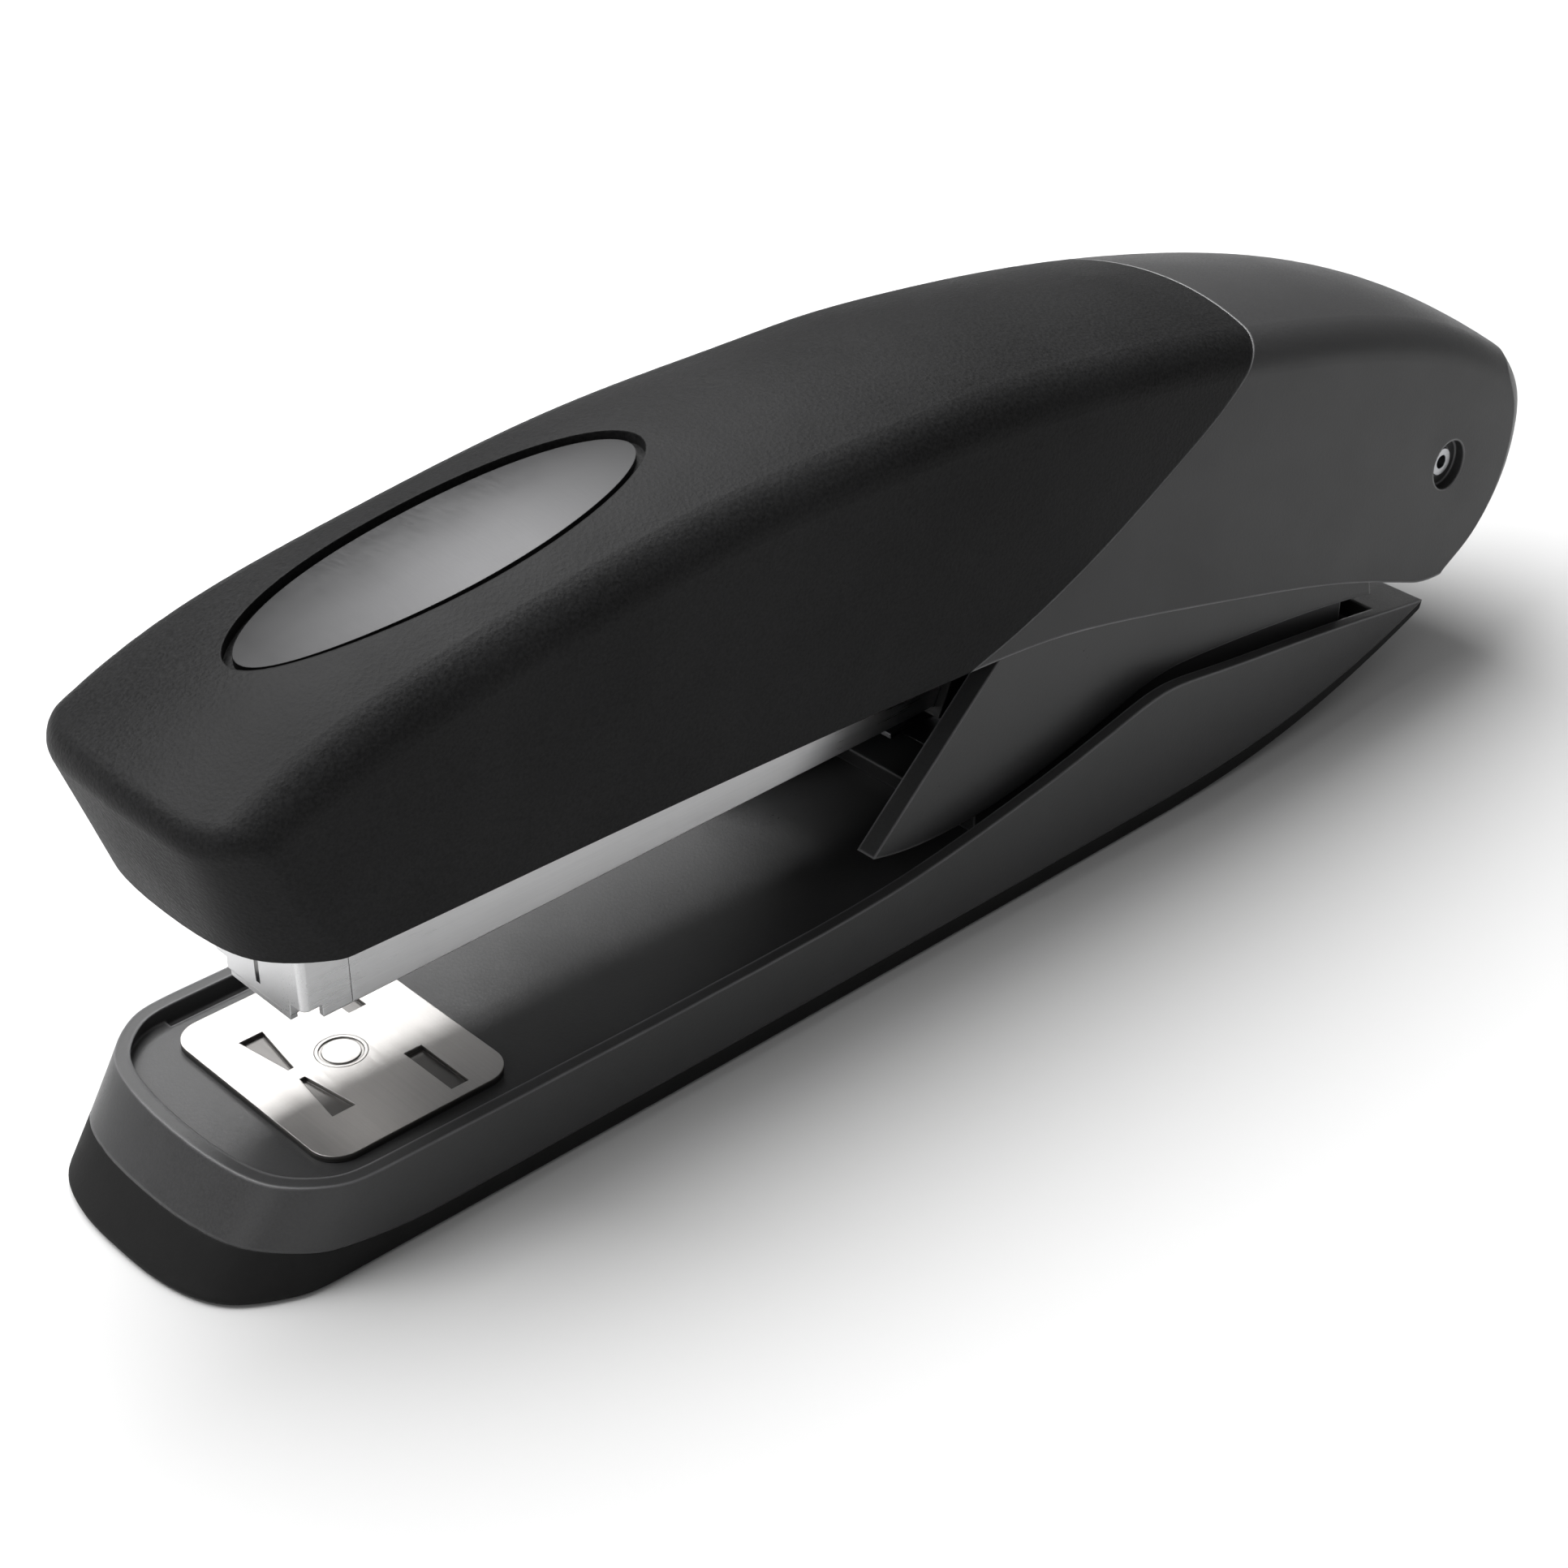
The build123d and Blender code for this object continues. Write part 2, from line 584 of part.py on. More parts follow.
def make_badge(outer):
    top = badge_column() & (Pos(0, 0, -BADGE_SINK) * outer)
    return top - Pos(0, 0, -BADGE_SINK - BADGE_T + 0.03) * outer


def make_rear_cover(outer, inner):
    cover = (outer - inner + boss(REAR_BOSS_X, outer)) & behind_seam(SEAM_GAP)
    cover -= block(60, 100, -TAIL_INNER_W, TAIL_INNER_W, 0, REAR_WALL_LOW)
    hub = rod_y(PIVOT_X, PIVOT_Z, HUB_R, HUB_IN, PIN_REACH)
    cover += hub + mirrored_y(hub)
    cover -= rod_y(PIVOT_X, PIVOT_Z, PIN_R + RUN_FIT, -FAR, FAR)
    bore = rod_y(PIVOT_X, PIVOT_Z, RECESS_R, PIN_REACH - 0.3, 20)
    cover -= bore + mirrored_y(bore)
    return cover - screw_hole(REAR_BOSS_X)


# ---------------------------------------------------------------- magazine
def make_magazine_channel():
    rear = 5.0
    outer = block(NOSE_BACK_X, rear, -CH_HALF_W, CH_HALF_W, CH_BOTTOM, CH_TOP)
    bore = block(-160, 20, -CH_HALF_W + SHEET, CH_HALF_W - SHEET, CH_BOTTOM + SHEET, 30)
    exit_slot = block(-160, -146, -CH_HALF_W + SHEET, CH_HALF_W - SHEET, -20, 30)
    channel = outer - bore - exit_slot
    slope = xz_polygon([(-60, 30), (-60, CH_TOP), (-20, 6.6), (30, 6.6), (30, 30)])
    channel -= slab_y(slope, -FAR, FAR)
    channel -= block(-8, 20, -6.2, 6.2, -10, 0)
    return channel - rod_y(0, 0, PIN_R + RUN_FIT, -FAR, FAR)


def make_magazine_nose():
    """Folded front guide: a front face with a slit, and short side walls."""
    outline = block(NOSE_X, NOSE_BACK_X - 0.05, -CH_HALF_W, CH_HALF_W, CH_BOTTOM, CH_TOP)
    edges = [e for e in outline.edges().filter_by(Axis.Z) if e.center().X < NOSE_X + 1]
    outline = fillet(edges, NOSE_CORNER_R)
    hollow = block(NOSE_X + 0.9, 0, -CH_HALF_W + SHEET, CH_HALF_W - SHEET, -20, 30)
    nose = outline - hollow
    nose -= block(NOSE_X - 1, NOSE_X + 2, -0.35, 0.35, CH_BOTTOM + 1.0, 30)
    lip = block(NOSE_X + 0.1, NOSE_X + 0.85, -4.6, 4.6, CH_BOTTOM - 0.7, CH_BOTTOM + 0.5)
    notch = block(NOSE_X - 1, NOSE_X + 2, 4.9, 10, CH_BOTTOM - 1, CH_BOTTOM + 1.3)
    return nose + lip - notch - mirrored_y(notch)


def make_staple_rail():
    low = CH_BOTTOM + SHEET + 0.02
    rail = block(-148.2, -12, -RAIL_HALF_W, RAIL_HALF_W, low, RAIL_TOP)
    rail -= block(-160, 0, -RAIL_HALF_W + RAIL_T, RAIL_HALF_W - RAIL_T, low - 1, RAIL_TOP - RAIL_T)
    return rail - block(-147.0, ANCHOR_X - 9, -1.4, 1.4, 0, 10)


def rod_x(x0, x1, radius):
    """A cylinder on the axis of the guide rod."""
    return Pos((x0 + x1) / 2, 0, ROD_Z) * Rot(0, 90, 0) * Cylinder(radius, x1 - x0)


def make_rod_anchor(x0, x1):
    width = RAIL_HALF_W - RAIL_T - 0.02
    anchor = block(x0, x1, -width, width, CH_BOTTOM + SHEET + 0.02, RAIL_TOP - RAIL_T - 0.02)
    return anchor - rod_x(x0 - 1, x1 + 1, ROD_R + FIXED_FIT)


def make_anchors():
    front = make_rod_anchor(ROD_FRONT_X, ROD_FRONT_X + 1)
    rear = make_rod_anchor(ANCHOR_X, ROD_REAR_X)
    return Compound(children=[front, rear])


def make_guide_rod():
    return rod_x(ROD_FRONT_X, ROD_REAR_X, ROD_R)


def make_magazine_sleeve():
    front, rear = SLEEVE_X
    low = CH_BOTTOM - 0.9
    side = xz_polygon([(front, low), (rear, low), (rear, SLEEVE_TOP), (front + 3, SLEEVE_TOP)])
    sleeve = slab_y(side, -CH_HALF_W - SLEEVE_T, CH_HALF_W + SLEEVE_T)
    inner = CH_HALF_W + 0.03
    return sleeve - block(-100, 0, -inner, inner, CH_BOTTOM - 0.03, FAR)


def make_pivot_bush():
    reach = CH_HALF_W - SHEET - 0.03
    return rod_y(0, 0, 3.3, -reach, reach) - rod_y(0, 0, PIN_R + RUN_FIT, -FAR, FAR)


def make_staple_pusher():
    x0, x1 = PUSHER_FRONT_X, PUSHER_FRONT_X + PUSHER_L
    wide = CH_HALF_W - SHEET - 0.1
    saddle = block(x0, x1, -wide, wide, CH_BOTTOM + SHEET + 0.5, PUSHER_TOP)
    saddle -= block(x0 - 1, x1 + 1, -RAIL_HALF_W - 0.1, RAIL_HALF_W + 0.1, -20, RAIL_TOP + 0.1)
    tongue = block(x0 + 1.2, x0 + 1.2 + TONGUE_L, -1.2, 1.2, ROD_Z - 1.7, RAIL_TOP + 1)
    hole = rod_x(x0 - FAR, x0 + FAR, ROD_R + RUN_FIT)
    top = block(x0 + 4, x1 + 1, -10, 10, PUSHER_TOP - 2.2, PUSHER_TOP + 1)
    return saddle + tongue - hole - top


def make_pusher_spring():
    x0 = PUSHER_FRONT_X + 1.2 + TONGUE_L + 0.3
    length = ANCHOR_X - 0.3 - x0
    path = Helix(pitch=length / SPRING_TURNS, height=length, radius=SPRING_R - SPRING_WIRE_R)
    wire = Plane(origin=path @ 0, z_dir=path % 0) * Circle(SPRING_WIRE_R)
    return Pos(x0, 0, ROD_Z) * Rot(0, 90, 0) * sweep(wire, path=path)


# ---------------------------------------------------------------- handle
FRAME_FRONT_X = -146.5
FLANGE = [
    (FRAME_FRONT_X, WEB_Z + 0.5), (FRAME_FRONT_X, 12.6), (-40, 10.5), (-4, -5.2), (5.5, -2.5),
    (5.5, 5), (-14, WEB_Z + 0.5),
]


def make_handle_frame():
    outer = FRAME_IN + FRAME_T
    web = block(FRAME_FRONT_X, -14, -outer, outer, WEB_Z, WEB_Z + WEB_T)
    flange = slab_y(xz_polygon(FLANGE), FRAME_IN, outer)
    frame = web + flange + mirrored_y(flange)
    frame -= rod_y(0, 0, PIN_R + RUN_FIT, -FAR, FAR)
    frame = drilled(frame, BLADE_RIVETS, BLADE_RIVET_R)
    frame = drilled(frame, LEAF_RIVETS, LEAF_RIVET_R)
    screws = [(x - PIVOT_X, 0) for x in (FRONT_BOSS_X, REAR_BOSS_X)]
    return drilled(frame, screws, SCREW_R + 0.23)


def make_driver_blade():
    top = WEB_Z - 0.02
    front = STAPLE_X - BLADE_T / 2
    blade = block(front, front + BLADE_T, -BLADE_HALF_W, BLADE_HALF_W, BLADE_TIP_Z, top)
    blade += block(STAPLE_X, -138.5, -BLADE_HALF_W, BLADE_HALF_W, top - BLADE_T, top)
    return drilled(blade, BLADE_RIVETS, BLADE_RIVET_R)


def make_blade_rivets():
    low = WEB_Z - 0.04 - BLADE_T
    high = WEB_Z + WEB_T + 0.02
    return Compound(children=[
        rivet_z(place, BLADE_RIVET_R, BLADE_RIVET_HEAD_R, low, high, 0.5, 0.7)
        for place in BLADE_RIVETS
    ])


def leaf_face(points, thickness):
    """A bent strip: straight between the first two points, then a smooth curve."""
    lines = []
    for drop in (0, thickness):
        path = [p3((x, z - drop)) for x, z in points]
        start = (1 if path[1][0] > path[0][0] else -1, 0, 0)
        end = (path[-1][0] - path[-2][0], 0, path[-1][2] - path[-2][2])
        lines.append(Line(path[0], path[1]))
        lines.append(Spline(path[1:], tangents=[start, end]))
    for x, z in (points[0], points[-1]):
        lines.append(Line(p3((x, z)), p3((x, z - thickness))))
    return make_face(lines)


def make_handle_spring():
    leaf = slab_y(leaf_face(HANDLE_LEAF, LEAF_T), -LEAF_HALF_W, LEAF_HALF_W)
    return drilled(leaf, LEAF_RIVETS, LEAF_RIVET_R)


def make_leaf_rivets():
    low = WEB_Z - 0.06 - LEAF_T
    high = WEB_Z + WEB_T + 0.02
    return Compound(children=[
        rivet_z(place, LEAF_RIVET_R, LEAF_RIVET_HEAD_R, low, high, 0.6, 0.7)
        for place in LEAF_RIVETS
    ])


def make_cover_screws():
    screws = []
    for x in (FRONT_BOSS_X, REAR_BOSS_X):
        under = web_top(x) - WEB_T - 0.15
        screw = rod_z(x, 0, SCREW_R, under, web_top(x) + SCREW_REACH)
        screw += rod_z(x, 0, SCREW_HEAD_R, under - 1.1, under)
        slot = block(x - 3, x + 3, -0.3, 0.3, under - 2, under - 0.6)
        screws.append(screw - slot)
    return Compound(children=screws)


# ---------------------------------------------------------------- lift spring
def make_lift_spring():
    leaf = slab_y(leaf_face(LIFT_LEAF, LIFT_T), -LIFT_HALF_W, LIFT_HALF_W)
    return drilled(leaf, [LIFT_RIVET], LEAF_RIVET_R)


def make_lift_rivet():
    low = BRACKET_FLOOR_TOP + 0.03
    high = LIFT_Z + FLOOR_FIT
    return rivet_z(LIFT_RIVET, LEAF_RIVET_R, LEAF_RIVET_HEAD_R, low, high, 0, 0.8)


def main():
    write("base_shell", make_base_shell())
    write("base_foot", make_base_foot())
    write("base_plate", make_base_plate())
    write("hinge_bracket", make_hinge_bracket())
    write("bracket_rivets", make_bracket_rivets())
    write("hinge_fairing", make_hinge_fairing())
    write("pivot_pin", make_pivot_pin())
    write("lift_spring", make_lift_spring())
    write("lift_spring_rivet", make_lift_rivet())
    write("anvil_plate", make_anvil_plate())
    write("anvil_post", make_anvil_post())
    write("anvil_button", make_anvil_button())
    write("anvil_spring_cup", make_anvil_cup())
    write("anvil_spring", make_anvil_spring())
    write("magazine_channel", in_arm(make_magazine_channel()))
    write("magazine_nose", in_arm(make_magazine_nose()))
    write("staple_rail", in_arm(make_staple_rail()))
    write("guide_rod", in_arm(make_guide_rod()))
    write("rod_anchors", in_arm(make_anchors()))
    write("magazine_sleeve", in_arm(make_magazine_sleeve()))
    write("pivot_bush", in_arm(make_pivot_bush()))
    write("staple_pusher", in_arm(make_staple_pusher()))
    write("pusher_spring", in_arm(make_pusher_spring()))
    outer = arm_outer()
    inner = arm_inner()
    write("front_cover", make_front_cover(outer, inner))
    write("rear_cover", make_rear_cover(outer, inner))
    write("badge_plate", make_badge(outer))
    write("handle_frame", in_arm(make_handle_frame()))
    write("driver_blade", in_arm(make_driver_blade()))
    write("blade_rivets", in_arm(make_blade_rivets()))
    write("handle_spring", in_arm(make_handle_spring()))
    write("handle_spring_rivets", in_arm(make_leaf_rivets()))
    write("cover_screws", make_cover_screws())


if __name__ == "__main__":
    main()
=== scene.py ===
"""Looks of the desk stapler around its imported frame: materials, springs, floor, light, camera."""
import json
import math

import bpy
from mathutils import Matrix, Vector

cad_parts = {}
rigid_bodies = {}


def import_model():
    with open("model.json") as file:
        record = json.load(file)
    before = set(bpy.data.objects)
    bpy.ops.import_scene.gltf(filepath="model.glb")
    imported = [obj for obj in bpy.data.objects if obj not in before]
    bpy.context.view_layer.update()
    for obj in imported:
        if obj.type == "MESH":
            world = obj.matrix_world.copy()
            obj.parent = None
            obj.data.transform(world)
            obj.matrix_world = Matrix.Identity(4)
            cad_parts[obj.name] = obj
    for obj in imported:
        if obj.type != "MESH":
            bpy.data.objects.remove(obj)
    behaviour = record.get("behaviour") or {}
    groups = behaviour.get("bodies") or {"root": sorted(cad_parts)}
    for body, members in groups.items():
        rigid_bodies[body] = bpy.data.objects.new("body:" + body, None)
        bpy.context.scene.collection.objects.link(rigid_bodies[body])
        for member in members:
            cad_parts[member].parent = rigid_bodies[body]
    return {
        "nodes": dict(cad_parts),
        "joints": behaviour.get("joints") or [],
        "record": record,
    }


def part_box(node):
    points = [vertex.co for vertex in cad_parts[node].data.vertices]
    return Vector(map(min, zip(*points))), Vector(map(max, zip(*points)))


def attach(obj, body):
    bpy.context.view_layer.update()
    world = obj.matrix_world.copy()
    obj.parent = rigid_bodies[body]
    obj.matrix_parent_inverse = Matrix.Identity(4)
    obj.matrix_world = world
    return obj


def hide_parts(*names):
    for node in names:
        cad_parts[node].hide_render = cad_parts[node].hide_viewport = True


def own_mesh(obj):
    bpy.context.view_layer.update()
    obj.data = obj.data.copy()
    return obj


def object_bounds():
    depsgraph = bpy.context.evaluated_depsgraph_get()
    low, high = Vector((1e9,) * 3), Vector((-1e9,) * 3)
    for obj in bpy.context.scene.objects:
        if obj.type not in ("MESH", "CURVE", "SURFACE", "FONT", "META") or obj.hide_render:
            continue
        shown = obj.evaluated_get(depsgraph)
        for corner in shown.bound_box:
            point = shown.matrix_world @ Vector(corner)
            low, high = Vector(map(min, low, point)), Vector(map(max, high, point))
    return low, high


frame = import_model()
cad_low, cad_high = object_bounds()
MM = 0.001


# ---------------------------------------------------------------- node helpers
NOISE_LOW, NOISE_HIGH = 0.3, 0.7        # nearly all of a noise texture lies between these
BEVEL_SAMPLES = 6
EDGE_SHARP, EDGE_OPEN = 0.90, 0.998     # cosine between the rounded and the true normal

# Sockets of a colour mix node.
MIX_FACTOR, MIX_A, MIX_B, MIX_RESULT = 0, 6, 7, 2


class Nodes:
    """A small wrapper that builds one material's node tree."""

    def __init__(self, name):
        self.material = bpy.data.materials.new(name)
        self.material.use_nodes = True
        self.tree = self.material.node_tree
        self.tree.nodes.clear()
        output = self.add("ShaderNodeOutputMaterial")
        self.shader = self.add("ShaderNodeBsdfPrincipled")
        self.link(self.shader.outputs["BSDF"], output.inputs["Surface"])
        self.coordinates = self.add("ShaderNodeTexCoord").outputs["Object"]
        axes = self.add("ShaderNodeSeparateXYZ")
        self.link(self.coordinates, axes.inputs["Vector"])
        self.axes = axes.outputs

    def add(self, kind, **settings):
        node = self.tree.nodes.new(kind)
        for key, value in settings.items():
            setattr(node, key, value)
        return node

    def link(self, a, b):
        self.tree.links.new(a, b)

    def stretched(self, scale):
        mapping = self.add("ShaderNodeMapping")
        mapping.inputs["Scale"].default_value = scale
        self.link(self.coordinates, mapping.inputs["Vector"])
        return mapping.outputs["Vector"]

    def noise(self, scale, detail=2.0, roughness=0.5, vector=None):
        node = self.add("ShaderNodeTexNoise")
        node.inputs["Scale"].default_value = scale
        node.inputs["Detail"].default_value = detail
        node.inputs["Roughness"].default_value = roughness
        self.link(vector or self.coordinates, node.inputs["Vector"])
        return node.outputs["Fac"]

    def cells(self, scale):
        node = self.add("ShaderNodeTexVoronoi")
        node.inputs["Scale"].default_value = scale
        self.link(self.coordinates, node.inputs["Vector"])
        return node.outputs["Distance"]

    def span(self, value, low, high, start=NOISE_LOW, stop=NOISE_HIGH):
        """Maps start..stop onto low..high and holds the ends."""
        node = self.add("ShaderNodeMapRange")
        node.inputs["From Min"].default_value = start
        node.inputs["From Max"].default_value = stop
        node.inputs["To Min"].default_value = low
        node.inputs["To Max"].default_value = high
        self.link(value, node.inputs["Value"])
        return node.outputs["Result"]

    def mix(self, factor, a, b):
        node = self.add("ShaderNodeMix", data_type="RGBA")
        self.link(factor, node.inputs[MIX_FACTOR])
        for socket, colour in ((node.inputs[MIX_A], a), (node.inputs[MIX_B], b)):
            if isinstance(colour, tuple):
                socket.default_value = (*colour, 1.0)
            else:
                self.link(colour, socket)
        return node.outputs[MIX_RESULT]

    def sum(self, a, b, weight):
        """a + b * weight"""
        node = self.add("ShaderNodeMath", operation="MULTIPLY_ADD")
        node.inputs[1].default_value = weight
        self.link(b, node.inputs[0])
        self.link(a, node.inputs[2])
        return node.outputs["Value"]

    def rounded_normal(self, radius):
        bevel = self.add("ShaderNodeBevel", samples=BEVEL_SAMPLES)
        bevel.inputs["Radius"].default_value = radius
        return bevel.outputs["Normal"]

    def edge_mask(self, radius):
        """1 along sharp edges and 0 on open faces."""
        across = self.add("ShaderNodeVectorMath", operation="DOT_PRODUCT")
        self.link(self.rounded_normal(radius), across.inputs[0])
        self.link(self.add("ShaderNodeNewGeometry").outputs["Normal"], across.inputs[1])
        return self.span(across.outputs["Value"], 1.0, 0.0, EDGE_SHARP, EDGE_OPEN)

    def bump(self, height, strength, distance, edge_radius):
        node = self.add("ShaderNodeBump")
        node.inputs["Strength"].default_value = strength
        node.inputs["Distance"].default_value = distance
        self.link(height, node.inputs["Height"])
        self.link(self.rounded_normal(edge_radius), node.inputs["Normal"])
        self.link(node.outputs["Normal"], self.shader.inputs["Normal"])

    def set(self, **values):
        """Sets or links the shader's inputs; an underscore stands for a space."""
        for key, value in values.items():
            socket = self.shader.inputs[key.replace("_", " ")]
            if isinstance(value, bpy.types.NodeSocket):
                self.link(value, socket)
            else:
                socket.default_value = value


# ---------------------------------------------------------------- materials
# Noise scales, in features per metre.
TONE_DRIFT = 28.0
HANDLING = 60.0
# Patches that break up the painted edge highlight.
HIGHLIGHT_PATCHES = 160.0
DUST = 90.0
RUBBER_GRAIN = 2600.0
STAINS = 45.0
METAL_PITS = 900.0

# Shares that the weaker texture adds to the stronger one.
SPECKLE_IN_TONE, SPECKLE_IN_ROUGHNESS = 0.5, 0.12
LINES_IN_TONE, LINES_IN_ROUGHNESS = 0.4, 0.1
FINE_GRAIN_IN_BUMP, PITS_IN_BUMP = 0.8, 0.3

CELL_GRAIN, FINE_GRAIN = 0.7, 1.7       # shares of a plastic's grain scale
PLASTIC_EDGE = 0.25 * MM
PLASTIC_BUMP = 0.5
FAINTEST_HIGHLIGHT = 0.15                     # share of the painted edge highlight left below its height
HIGHLIGHT_FADE = 1.0 * MM

RUBBER_BUMP = 0.35
RUBBER_EDGE = 0.3 * MM
RUBBER_GRAIN_DEPTH = 0.05 * MM

ALONG_X, ALONG_Y = 0, 1
LINE_STRETCH = 0.02                     # noise scale along a brushed line over that across it
METAL_EDGE = 0.12 * MM
METAL_BUMP = 0.4
SHADED_TONE = 0.35                      # share of the dark tone where painted shade falls on a metal

POCKET_FLOOR, POCKET_RIM = 0.4 * MM, 0.06 * MM      # depths below the anvil plate's top where the painted pocket shade is full and where it ends
BADGE_SHIFT, BADGE_CLEAR = 0.1, 0.15                # shares of the badge's half length
BADGE_SHADE = 0.75


def moulded_plastic(name, dark, light, rough, grain, grain_depth, specular, edge=PLASTIC_EDGE,
                    edge_highlight=None, highlight_above=-1.0):
    """Moulded plastic: fine spark-eroded grain and slow tone drift.

    With an edge highlight colour, edges above the given height get it as a painted highlight,
    broken into patches.
    """
    n = Nodes(name)
    drift = n.noise(TONE_DRIFT, 3.0)
    speckle = n.noise(grain, 2.0, 0.6)
    tone = n.sum(n.span(drift, 0.0, 0.5), n.span(speckle, 0.0, 1.0), SPECKLE_IN_TONE)
    colour = n.mix(tone, dark, light)
    if edge_highlight:
        # Painted highlight along the edges, broken into patches and faded out below the given
        # height.
        highlight_mask = n.sum(n.span(n.noise(HIGHLIGHT_PATCHES, 3.0), -0.25, 0.0), n.edge_mask(edge), 1.0)
        reach = n.span(n.axes["Z"], FAINTEST_HIGHLIGHT, 1.0,
                       highlight_above - HIGHLIGHT_FADE, highlight_above + HIGHLIGHT_FADE)
        amount = n.add("ShaderNodeMath", operation="MULTIPLY", use_clamp=True)
        n.link(highlight_mask, amount.inputs[0])
        n.link(reach, amount.inputs[1])
        colour = n.mix(amount.outputs["Value"], colour, edge_highlight)
    n.set(Base_Color=colour)
    handled = n.noise(HANDLING, 4.0, 0.6)
    n.set(Roughness=n.sum(
        n.span(handled, rough[0], rough[1]), n.span(speckle, -0.5, 0.5), SPECKLE_IN_ROUGHNESS))
    n.shader.inputs["Specular IOR Level"].default_value = specular
    height = n.sum(n.cells(grain * CELL_GRAIN), n.noise(grain * FINE_GRAIN, 1.0),
                   FINE_GRAIN_IN_BUMP)
    n.bump(height, PLASTIC_BUMP, grain_depth, edge)
    return n.material


def rubber(name, dark, light, rough, specular):
    """Matte rubber with dust in patches and a fine grain."""
    n = Nodes(name)
    dust = n.noise(DUST, 5.0, 0.65)
    n.set(Base_Color=n.mix(n.span(dust, 0.0, 1.0, 0.45, 0.75), dark, light))
    n.set(Roughness=n.span(dust, rough[0], rough[1]))
    n.shader.inputs["Specular IOR Level"].default_value = specular
    n.bump(n.noise(RUBBER_GRAIN, 2.0), RUBBER_BUMP, RUBBER_GRAIN_DEPTH, RUBBER_EDGE)
    return n.material


def brushed_metal(name, dark, light, rough, direction, line_scale, depth, shade=None):
    """Rolled or brushed metal: fine lines along one direction, faint stains and pits."""
    n = Nodes(name)
    stretch = [line_scale] * 3
    stretch[direction] = line_scale * LINE_STRETCH
    lines = n.noise(1.0, 4.0, 0.7, n.stretched(stretch))
    stain = n.noise(STAINS, 4.0, 0.6)
    tone = n.sum(n.span(stain, 0.0, 0.6), n.span(lines, 0.0, 1.0), LINES_IN_TONE)
    colour = n.mix(tone, dark, light)
    # Painted shade: where a shade mask is given, the colour moves towards a darker copy of the dark
    # tone.
    if shade:
        colour = n.mix(shade(n), colour, tuple(SHADED_TONE * c for c in dark))
    n.set(Base_Color=colour)
    n.set(Metallic=1.0)
    n.set(Roughness=n.sum(
        n.span(stain, rough[0], rough[1]), n.span(lines, -0.5, 0.5), LINES_IN_ROUGHNESS))
    n.bump(n.sum(lines, n.noise(METAL_PITS, 2.0), PITS_IN_BUMP), METAL_BUMP, depth, METAL_EDGE)
    return n.material


def own_box(node):
    """A CAD piece's bounds in its own coordinates."""
    corners = [Vector(c) for c in frame["nodes"][node].bound_box]
    low = Vector(min(c[i] for c in corners) for i in range(3))
    high = Vector(max(c[i] for c in corners) for i in range(3))
    return low, high


def anvil_pocket_shade(n):
    """Painted shade on the floors of the clinch pockets."""
    top = own_box("anvil_plate")[1].z
    return n.span(n.axes["Z"], 1.0, 0.0, top - POCKET_FLOOR, top - POCKET_RIM)


def badge_end_shade(n):
    """Painted shade: the badge darkens towards both ends."""
    low, high = own_box("badge_plate")
    half = (high.x - low.x) / 2
    along = n.add("ShaderNodeMath", operation="SUBTRACT")
    along.inputs[1].default_value = (low.x + high.x) / 2 + BADGE_SHIFT * half
    n.link(n.axes["X"], along.inputs[0])
    away = n.add("ShaderNodeMath", operation="ABSOLUTE")
    n.link(along.outputs["Value"], away.inputs[0])
    return n.span(away.outputs["Value"], 0.0, BADGE_SHADE, BADGE_CLEAR * half, half)


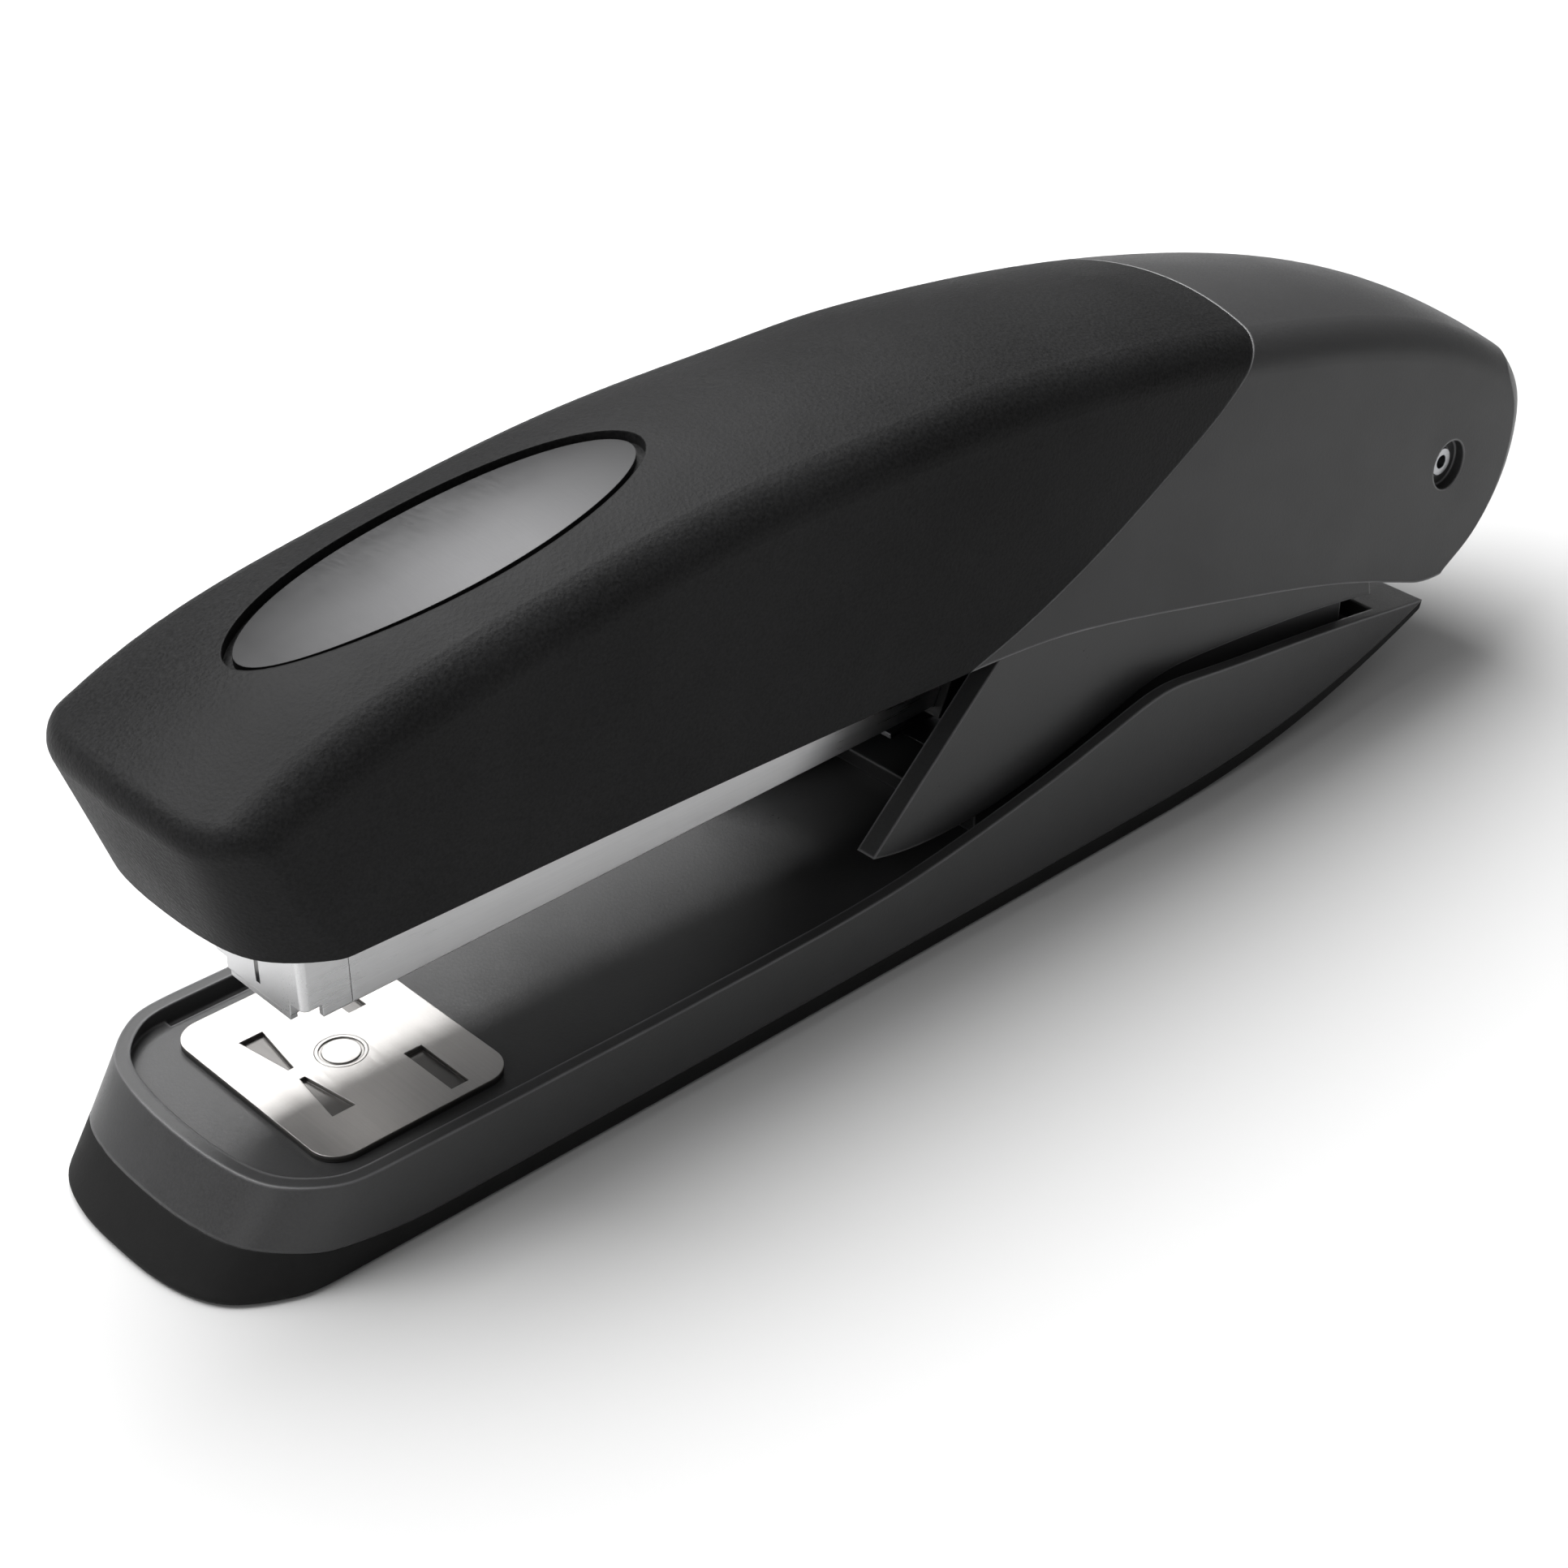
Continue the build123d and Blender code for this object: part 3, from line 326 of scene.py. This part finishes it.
MATERIALS = {
    "cover_black": moulded_plastic(
        "soft_black_plastic", dark=(0.004, 0.004, 0.0041), light=(0.022, 0.022, 0.0225),
        rough=(0.44, 0.54), grain=3200.0, grain_depth=0.05 * MM, specular=0.08),
    "housing_grey": moulded_plastic(
        "satin_grey_plastic", dark=(0.026, 0.026, 0.0265), light=(0.042, 0.042, 0.043),
        rough=(0.38, 0.48), grain=4200.0, grain_depth=0.010 * MM, specular=0.3,
        # The edge colour below is a painted highlight.
        edge=0.45 * MM, edge_highlight=(0.28, 0.28, 0.285)),
    "base_grey": moulded_plastic(
        "satin_base_plastic", dark=(0.026, 0.026, 0.0265), light=(0.042, 0.042, 0.043),
        rough=(0.32, 0.42), grain=4200.0, grain_depth=0.010 * MM, specular=0.42,
        # The edge colour below is a painted highlight, kept to the upper edges.
        edge=0.45 * MM, edge_highlight=(0.20, 0.20, 0.205), highlight_above=8.0 * MM),
    "foot_rubber": rubber(
        "black_rubber", dark=(0.006, 0.006, 0.006), light=(0.013, 0.013, 0.013),
        rough=(0.62, 0.8), specular=0.2),
    "sleeve_black": moulded_plastic(
        "black_sleeve_plastic", dark=(0.006, 0.006, 0.006), light=(0.014, 0.014, 0.015),
        rough=(0.4, 0.5), grain=2500.0, grain_depth=0.02 * MM, specular=0.3),
    "magazine_steel": brushed_metal(
        "cold_rolled_steel", dark=(0.60, 0.60, 0.605), light=(0.72, 0.72, 0.725),
        rough=(0.28, 0.36), direction=ALONG_X, line_scale=5200.0, depth=0.002 * MM),
    "inner_steel": brushed_metal(
        "zinc_plated_steel", dark=(0.36, 0.37, 0.38), light=(0.60, 0.60, 0.62),
        rough=(0.28, 0.42), direction=ALONG_X, line_scale=3000.0, depth=0.006 * MM),
    "spring_steel": brushed_metal(
        "drawn_spring_steel", dark=(0.20, 0.20, 0.21), light=(0.42, 0.42, 0.43),
        rough=(0.25, 0.38), direction=ALONG_X, line_scale=6000.0, depth=0.006 * MM),
    "anvil_steel": brushed_metal(
        "nickel_plated_anvil", dark=(0.40, 0.389, 0.378), light=(0.54, 0.526, 0.511),
        rough=(0.30, 0.38), direction=ALONG_Y, line_scale=4200.0, depth=0.002 * MM,
        shade=anvil_pocket_shade),
    "badge_silver": brushed_metal(
        "brushed_silver_badge", dark=(0.048, 0.048, 0.049), light=(0.092, 0.092, 0.0935),
        rough=(0.40, 0.5), direction=ALONG_Y, line_scale=5200.0, depth=0.004 * MM,
        shade=badge_end_shade),
    "pusher_plastic": moulded_plastic(
        "pusher_nylon", dark=(0.010, 0.010, 0.011), light=(0.022, 0.022, 0.024),
        rough=(0.3, 0.42), grain=2500.0, grain_depth=0.01 * MM, specular=0.5),
}
for entry in frame["record"]["subparts"]:
    node = frame["nodes"][entry["node"]]
    material = MATERIALS[entry["material_slot"]]
    for slot in node.material_slots:
        slot.material = material


# ---------------------------------------------------------------- springs
X, Z = 0, 2


def sprung(joint_name):
    """A copy that stands for the joint's CAD spring, parented to the joint's parent body; the CAD
    spring is hidden.
    """
    joint = next(j for j in frame["joints"] if j["name"] == joint_name)
    spring = joint["deforming_nodes"][0]
    node = spring["node"]
    original = frame["nodes"][node]
    low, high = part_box(node)
    along = X if spring["mode"] == "scale_x" else Z
    fixed = spring["fixed_end_x_m"] if along == X else spring["fixed_end_z_m"]
    anchor = [(a + b) / 2 for a, b in zip(low, high)]
    anchor[along] = fixed
    piece = bpy.data.objects.new(node + "_sprung", original.data.copy())
    piece.matrix_world = original.matrix_world
    bpy.context.collection.objects.link(piece)
    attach(piece, joint["parent"])
    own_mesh(piece)
    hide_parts(node)


for spring_joint in ("pusher_slide", "anvil_press", "magazine_hinge"):
    sprung(spring_joint)


# ---------------------------------------------------------------- floor, light, camera
FLOOR_HALF = 6.0
FLOOR_GAP = 0.1 * MM
FLOOR_TONE = 3.0            # noise scale, in features per metre
FLOOR_ROUGHNESS = 0.9
WORLD_STRENGTH = 0.24

CAMERA_PLACE = (-0.1932, -0.1951, 0.1835)
CAMERA_PITCH = 32.46        # degrees below the horizon
CAMERA_YAW = 42.69          # degrees from +Y towards +X
CAMERA_LENS = 70.8          # millimetres
CAMERA_SENSOR = 36.0        # millimetres
CAMERA_CLIP_START = 0.01


def pale_floor():
    n = Nodes("pale_paper_floor")
    n.set(Base_Color=n.mix(n.noise(FLOOR_TONE, 2.0), (0.61, 0.61, 0.61), (0.63, 0.63, 0.63)),
          Roughness=FLOOR_ROUGHNESS)
    n.shader.inputs["Specular IOR Level"].default_value = 0.0
    mesh = bpy.data.meshes.new("floor")
    corners = [(-FLOOR_HALF, -FLOOR_HALF, 0), (FLOOR_HALF, -FLOOR_HALF, 0),
               (FLOOR_HALF, FLOOR_HALF, 0), (-FLOOR_HALF, FLOOR_HALF, 0)]
    mesh.from_pydata(corners, [], [(0, 1, 2, 3)])
    floor = bpy.data.objects.new("floor", mesh)
    floor.location.z = cad_low.z - FLOOR_GAP
    mesh.materials.append(n.material)
    bpy.context.collection.objects.link(floor)


def soft_box(name, place, aim, size, power):
    data = bpy.data.lights.new(name, "AREA")
    data.shape = "RECTANGLE"
    data.size, data.size_y = size
    data.energy = power
    lamp = bpy.data.objects.new(name, data)
    lamp.location = place
    lamp.rotation_euler = (Vector(aim) - Vector(place)).to_track_quat("-Z", "Y").to_euler()
    bpy.context.collection.objects.link(lamp)


def studio():
    world = bpy.data.worlds.new("studio")
    world.use_nodes = True
    background = world.node_tree.nodes["Background"]
    background.inputs["Color"].default_value = (1.0, 1.0, 1.0, 1.0)
    background.inputs["Strength"].default_value = WORLD_STRENGTH
    bpy.context.scene.world = world
    soft_box("key", place=(-0.06, 0.26, 0.62), aim=(-0.01, 0.0, 0.03),
             size=(0.9, 0.5), power=11.0)
    soft_box("back_panel", place=(0.50, 0.55, 0.46), aim=(-0.04, 0.0, 0.02),
             size=(0.5, 0.4), power=0.25)
    soft_box("left_fill", place=(-0.7, -0.15, 0.35), aim=(-0.06, 0.0, 0.02),
             size=(0.4, 0.4), power=0.6)


def camera():
    data = bpy.data.cameras.new("camera")
    data.sensor_width = CAMERA_SENSOR
    data.lens = CAMERA_LENS
    data.clip_start = CAMERA_CLIP_START
    shot = bpy.data.objects.new("camera", data)
    shot.location = CAMERA_PLACE
    shot.rotation_euler = (math.radians(90 - CAMERA_PITCH), 0, math.radians(-CAMERA_YAW))
    bpy.context.collection.objects.link(shot)
    bpy.context.scene.camera = shot


bpy.context.scene.view_settings.view_transform = "Standard"
pale_floor()
studio()
camera()
